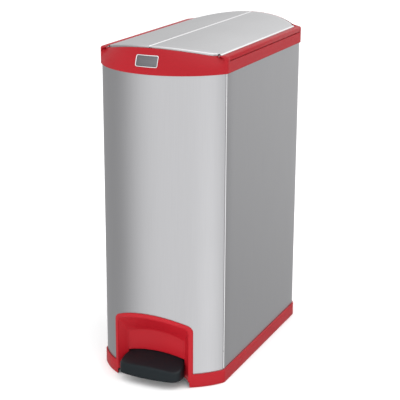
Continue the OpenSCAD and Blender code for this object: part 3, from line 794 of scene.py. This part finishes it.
def pedal_surround():
    """Flange on the bowed front, a rounded mouth and the scoop that runs back to an upright wall."""
    low = surround_low[2]
    outer = mouth_line(FLANGE_HW, FLANGE_TOP, 20.0, low)
    mouth = mouth_line(MOUTH_HW, MOUTH_TOP, 14.0, low)
    back = mouth_line(RECESS_HW, RECESS_TOP, 9.0, low)
    slot = slot_line(back, low)

    def on_bow(line, sink):
        """The line laid on the front bow, sunk behind it."""
        return np.array([(x, -float(bow_y(x)) + sink, z) for x, z in line])

    def on_wall(line, proud):
        """The line laid on the recess's back wall, proud of it."""
        return np.array([(x, -RECESS_Y - proud, z) for x, z in line])

    def between(a, b, share):
        """The outline that lies that share of the way from a to b."""
        return a * (1 - share) + b * share

    # Share of the way from the flange's edge to the mouth, and how far it is rounded off there
    flange = ((0.05, 0.4), (0.14, 0.08), (0.26, 0.0), (0.62, 0.0), (0.78, 0.12), (0.9, 0.6), (0.98, 1.5))
    rings = [on_bow(outer, 3.3), on_bow(outer, 1.1)]
    rings += [on_bow(between(outer, mouth, share), sink) for share, sink in flange]
    front = on_bow(mouth, 3.2)
    rear = on_wall(back, 0)
    rings += [between(front, rear, share) for share in (0.0, 0.2, 0.42, 0.64, 0.82, 0.93)]
    # The same from the back wall's outline down to the pad's slot
    wall = ((0.012, 0.9), (0.03, 0.2), (0.06, 0.0), (0.3, 0.0), (0.6, 0.0), (0.94, 0.0), (0.985, -0.3))
    rings += [on_wall(between(back, slot, share), proud) for share, proud in wall]
    rings.append(on_wall(slot, -1.0))
    verts, faces = loft(rings, closed_ring=False)
    obj = to_object("pedal_surround_moulding", verts, faces, red, "bin", ["pedal_surround"],
                    sharp=42)
    return solidify(obj, 2.0)


# ---- Pedal ----

PAD_NOSE_R = 330.0
PAD_CORNER = 22.0
PAD_EDGE_R = 5.0
# Where the pad's sides start to draw in, and a point well inside its plan
PAD_SIDE_Y = 297.0
PAD_CENTRE = np.array([0.0, -306.0])


def pad_top(x, y):
    """Height of the pad's crowned, sloping top."""
    crown = (PAD_CROWN_R - math.sqrt(PAD_CROWN_R ** 2 - x * x)) / math.cos(math.atan(PAD_SLOPE))
    return PAD_EDGE_Z + (y + PAD_EDGE_Y) * PAD_SLOPE - crown


def pad_outline():
    """Plan outline of the pad: bowed nose, round corners and tapering back."""
    half = pad_high[0]
    reach = math.asin((half - PAD_CORNER) / (PAD_NOSE_R - PAD_CORNER))
    centre_y = PAD_NOSE_R - HALF_L
    nose = arc((0, centre_y), PAD_NOSE_R, -reach, reach, 28)
    corner_at = half - PAD_CORNER, centre_y - (PAD_NOSE_R - PAD_CORNER) * math.cos(reach)
    right = arc(corner_at, PAD_CORNER, reach, math.pi / 2, 8)[1:]
    back_y, back_hw = pad_high[1], RECESS_HW - 8
    right += [(half, -PAD_SIDE_Y - 6), (half - 0.6, -PAD_SIDE_Y)]
    right += [(RECESS_HW - 4, -RECESS_Y + 5), (back_hw, back_y)]
    back = [(x, back_y) for x in np.linspace(back_hw, -back_hw, 9)[1:-1]]
    return np.array(nose + right + back + [(-x, y) for x, y in right[::-1]])


def pedal_pad():
    """Moulded foot pad: soft-edged crowned top over a deep front skirt, hollow underneath."""
    line = pad_outline()
    way = PAD_CENTRE - line
    way = way / np.linalg.norm(way, axis=1)[:, None]
    rings = []

    def ring(pull, z_of):
        """Adds the outline pulled in by that much, at heights given by x and y."""
        points = line + way * pull
        rings.append(np.array([(x, y, z_of(x, y)) for x, y in points]))

    base = pad_low[2]
    ring(4.0, lambda x, y: pad_top(x, y) - 4)
    ring(3.6, lambda x, y: base)
    ring(1.2, lambda x, y: base)
    ring(0.35, lambda x, y: base + 0.35)
    ring(0.0, lambda x, y: base + 1.2)
    ring(0.0, lambda x, y: 0.5 * (base + pad_top(x, y) - PAD_EDGE_R))
    for a in np.linspace(0, math.pi / 2, 7):
        pull, drop = PAD_EDGE_R * (1 - math.cos(a)), PAD_EDGE_R * (1 - math.sin(a))
        ring(pull, lambda x, y, drop=drop: pad_top(x, y) - drop)
    edge = rings[-1]
    for share in (0.82, 0.6, 0.4, 0.2):
        flat = PAD_CENTRE + (edge[:, :2] - PAD_CENTRE) * share
        rings.append(np.array([(x, y, pad_top(x, y)) for x, y in flat]))
    verts, faces = loft(rings, cap=True)
    return to_object("pedal_pad_moulding", verts, faces, pedal_black, "pedal", ["pedal_pad"],
                     sharp=50)


# ---- Badge ----

BADGE_W = 56.0
BADGE_H = 28.0
BADGE_ROUND = 4.5
BADGE_Z = (bezel_low[2] + bezel_high[2]) / 2


def band_face_y(x, z):
    """How far out the band's leaning face is at x and height z."""
    top = float(arch_z(x, FRONT_SINK)) - RIM_STEP
    t = min(1.0, max(0.0, (z - BAND_LOW) / (top - BAND_LOW)))
    low_y = float(bow_y(x))
    return low_y + (float(lid_y(x, LID_GAP + LIP)) - low_y) * t ** BAND_POWER


# Length along the band's face per unit of height at the badge
BADGE_RUN = math.hypot(1.0, (band_face_y(0, BADGE_Z - 8) - band_face_y(0, BADGE_Z + 8)) / 16)


def on_band(x, up, proud):
    """A point on the band's face at x across and up along the slope, standing proud by that much."""
    z = BADGE_Z + up / BADGE_RUN
    y = -band_face_y(x, z)
    dz, dx = 0.5, 0.5
    along_z = np.array([0, -(band_face_y(x, z + dz) - band_face_y(x, z - dz)), 2 * dz])
    along_x = np.array([2 * dx, -(band_face_y(x + dx, z) - band_face_y(x - dx, z)), 0])
    normal = np.cross(along_x, along_z)
    normal = normal / np.linalg.norm(normal)
    return np.array([x, y, z]) + normal * proud


def badge_loop(w, h, r, steps=6, edge_steps=6):
    """Rounded rectangle outline in the badge's own plane, with its straight edges divided."""
    def divided(p, q):
        """Points that divide the straight line from p to q."""
        return list(zip(*(np.linspace(a, b, edge_steps + 1)[1:-1] for a, b in zip(p, q))))

    points = []
    for sx, sz, first in ((1, 1, 0), (-1, 1, 90), (-1, -1, 180), (1, -1, 270)):
        corner = [(sx * (w / 2 - r) + r * math.cos(a), sz * (h / 2 - r) + r * math.sin(a))
                  for a in np.radians(np.linspace(first, first + 90, steps))]
        if points:
            points += divided(points[-1], corner[0])
        points += corner
    return points + divided(points[-1], points[0])


def badge_rings(rows):
    """Badge outlines laid on the band, each pulled in and standing proud by so much."""
    rings = []
    for pull, proud in rows:
        loop = badge_loop(BADGE_W - 2 * pull, BADGE_H - 2 * pull, max(0.6, BADGE_ROUND - pull * 0.9))
        rings.append([on_band(x, up, proud) for x, up in loop])
    return rings


def badge():
    """Blank plate in a plated bezel, both following the band's curve."""
    rows = [(0.0, -0.6), (0.0, 0.6), (0.3, 1.1), (0.8, 1.3), (1.4, 1.2), (1.9, 0.9), (2.2, 0.3), (2.2, -0.6)]
    verts, faces = loft(badge_rings(rows), closed_profile=True)
    to_object("badge_bezel_trim", verts, faces, bright, "bin", ["badge_bezel"])
    rows = [(2.3, -0.5), (2.3, 0.45), (2.6, 0.6), (5.0, 0.72), (9.0, 0.8), (12.0, 0.82)]
    verts, faces = loft(badge_rings(rows), cap=True)
    to_object("badge_plate_blank", verts, faces, badge_face, "bin", ["badge_plate"])


# ---- Liner and spring ----


def liner():
    """Rigid inner bin with a rolled rim, tapering to a rounded floor."""
    half_w, half_l = liner_high[0], liner_high[1]
    bow, rim, taper, wall = 155.0, 4.0, 7.0, 2.5
    top, base = liner_high[2], liner_low[2]
    foot, inner_foot = rim + taper, rim + taper + wall
    profile = [(foot + 20, base), (foot + 6, base + 1.0), (foot + 1.5, base + 5), (foot, base + 12)]
    profile += [(rim, top - 12), (1.2, top - 11.2), (0.0, top - 10)]
    profile += rounded(2.0, top - 2.0, 2.0, 0, 90, 5)
    profile += [(5.0, top), (6.0, top - 0.6), (rim + wall, top - 2), (inner_foot, base + 14)]
    profile += [(inner_foot + 4, base + 5), (inner_foot + 18, base + 3)]
    rings = [raised(bowed(half_w, half_l, bow, 24.0, i), z) for i, z in profile]
    verts, faces = loft(rings, cap=True)
    return to_object("liner_bin", verts, faces, grey, "bin", ["liner"], sharp=45)


def return_spring():
    """Open coil spring round the push rod, with its end coils closed."""
    x0, y0 = (spring_low[0] + spring_high[0]) / 2, (spring_low[1] + spring_high[1]) / 2
    wire = 1.15
    low, high = spring_low[2] + wire, spring_high[2] - wire
    mean_r = (spring_high[0] - spring_low[0]) / 2 - 1.2
    turns, steps = 10, 24
    path = []
    for k in range(turns * steps + 1):
        a = 2 * math.pi * k / steps
        share = k / (turns * steps)
        rise = smooth((share - 0.06) / 0.88) * 0.35 + np.clip((share - 0.08) / 0.84, 0, 1) * 0.65
        path.append((x0 + mean_r * math.cos(a), y0 + mean_r * math.sin(a), low + (high - low) * rise))
    verts, faces = tube(path, wire, 8)
    obj = to_object("return_spring_coil", verts, faces, plated, "bin", ["return_spring"])
    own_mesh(obj)
    return obj


# ---- Stage, lights and camera ----


def floor():
    """Pale matt floor, far larger than the view."""
    mesh = bpy.data.meshes.new("floor")
    size = 30.0
    corners = [(-size, -size, 0), (size, -size, 0), (size, size, 0), (-size, size, 0)]
    mesh.from_pydata(corners, [], [(0, 1, 2, 3)])
    obj = bpy.data.objects.new("floor", mesh)
    bpy.context.scene.collection.objects.link(obj)
    n = Nodes("pale_floor")
    n.link(n.ramp(n.noise(0.8, 1.0), [(0.3, (0.86, 0.86, 0.86)), (0.7, (0.88, 0.88, 0.88))]),
           n.shader.inputs["Base Color"])
    n.shader.inputs["Roughness"].default_value = 0.9
    n.shader.inputs["Specular IOR Level"].default_value = 0.1
    mesh.materials.append(n.material)
    obj.visible_glossy = False
    return obj


def heading(azimuth, elevation):
    """Unit vector towards a point of the room. Azimuth 0 is in front of the pedal end, 90 to its right."""
    a, e = math.radians(azimuth), math.radians(elevation)
    return Vector((math.sin(a) * math.cos(e), -math.cos(a) * math.cos(e), math.sin(e)))


def area_light(name, azimuth, elevation, distance, size, watts, aim=(0, 0, 0.42), shape_y=None):
    """Soft box that faces the bin."""
    data = bpy.data.lights.new(name, "AREA")
    data.shape = "RECTANGLE"
    data.size = size
    data.size_y = shape_y or size
    data.energy = watts
    obj = bpy.data.objects.new(name, data)
    way = heading(azimuth, elevation)
    obj.location = Vector(aim) + way * distance
    obj.rotation_mode = "QUATERNION"
    obj.rotation_quaternion = (-way).to_track_quat("-Z", "Y")
    bpy.context.scene.collection.objects.link(obj)
    return obj


# Strength of the room's light near the floor and higher up
LOW_LEVEL = 0.42
WALL_LEVEL = 0.72
# Glows of the room: azimuth, elevation, cosine where it starts, cosine where it is full, strength
GLOWS = (
    (22, 0, -0.25, 0.85, 0.60),
    (120, 62, 0.45, 0.97, 1.15),
    (180, -3, 0.89, 0.955, 0.42),
    (72, -30, 0.90, 0.99, 0.30),
)


def studio():
    """Room of soft light, brightest overhead and towards the front right, and dim low down."""
    world = bpy.data.worlds.new("studio")
    bpy.context.scene.world = world
    world.use_nodes = True
    tree = world.node_tree
    way = tree.nodes.new("ShaderNodeTexCoord").outputs["Generated"]

    def graded(value, start, end, low, high):
        """Value mapped softly from start..end to low..high."""
        node = tree.nodes.new("ShaderNodeMapRange")
        node.interpolation_type = "SMOOTHSTEP"
        for name, number in zip(("From Min", "From Max", "To Min", "To Max"), (start, end, low, high)):
            node.inputs[name].default_value = number
        tree.links.new(value, node.inputs["Value"])
        return node.outputs["Result"]

    split = tree.nodes.new("ShaderNodeSeparateXYZ")
    tree.links.new(way, split.inputs["Vector"])
    level = graded(split.outputs["Z"], -0.1, 0.35, LOW_LEVEL, WALL_LEVEL)
    for azimuth, elevation, start, end, gain in GLOWS:
        towards = tree.nodes.new("ShaderNodeVectorMath")
        towards.operation = "DOT_PRODUCT"
        towards.inputs[1].default_value = heading(azimuth, elevation)
        tree.links.new(way, towards.inputs[0])
        add = tree.nodes.new("ShaderNodeMath")
        tree.links.new(level, add.inputs[0])
        tree.links.new(graded(towards.outputs["Value"], start, end, 0.0, gain), add.inputs[1])
        level = add.outputs["Value"]
    background = tree.nodes["Background"]
    background.inputs["Color"].default_value = (1.0, 1.0, 1.0, 1.0)
    tree.links.new(level, background.inputs["Strength"])
    area_light("right_box", 112, 38, 2.6, 0.7, 9, shape_y=1.4)
    fill = area_light("left_fill", -62, 22, 2.6, 1.6, 22)
    low = area_light("low_fill", 12, 6, 0.9, 0.5, 4.4, aim=(0, -0.3, 0.09))
    for light in (fill, low):
        light.visible_glossy = False
        light.visible_camera = False


CAMERA_AZIMUTH = 24.274
CAMERA_ELEVATION = 16.93
CAMERA_ROLL = 0.263
CAMERA_PLACE = (1.20793, -2.70843, 1.28135)
CAMERA_LENS = 108.155


def camera():
    """The view of the photograph: the pedal end a little to the right, from somewhat above."""
    data = bpy.data.cameras.new("camera")
    data.lens = CAMERA_LENS
    data.sensor_width = 36.0
    data.clip_end = 100.0
    obj = bpy.data.objects.new("camera", data)
    bpy.context.scene.collection.objects.link(obj)
    a, e, roll = (math.radians(v) for v in (CAMERA_AZIMUTH, CAMERA_ELEVATION, CAMERA_ROLL))
    ahead = Vector((-math.sin(a) * math.cos(e), math.cos(a) * math.cos(e), -math.sin(e)))
    right = Vector((math.cos(a), math.sin(a), 0))
    up = right.cross(ahead)
    right, up = right * math.cos(roll) + up * math.sin(roll), up * math.cos(roll) - right * math.sin(roll)
    obj.matrix_world = Matrix.Translation(CAMERA_PLACE) @ Matrix((right, up, -ahead)).transposed().to_4x4()
    bpy.context.scene.camera = obj
    return obj


camera()
floor()
studio()
bpy.context.scene.view_settings.view_transform = "Standard"

dress_kept_nodes()
base_ring()
body_wrap()
front_panel()
top_frame()
pedal_surround()
pedal_pad()
badge()
liner()
return_spring()
for side in (-1, 1):
    hinge_cover(side)
    lid_skin(side)
    hinge_tube(side)
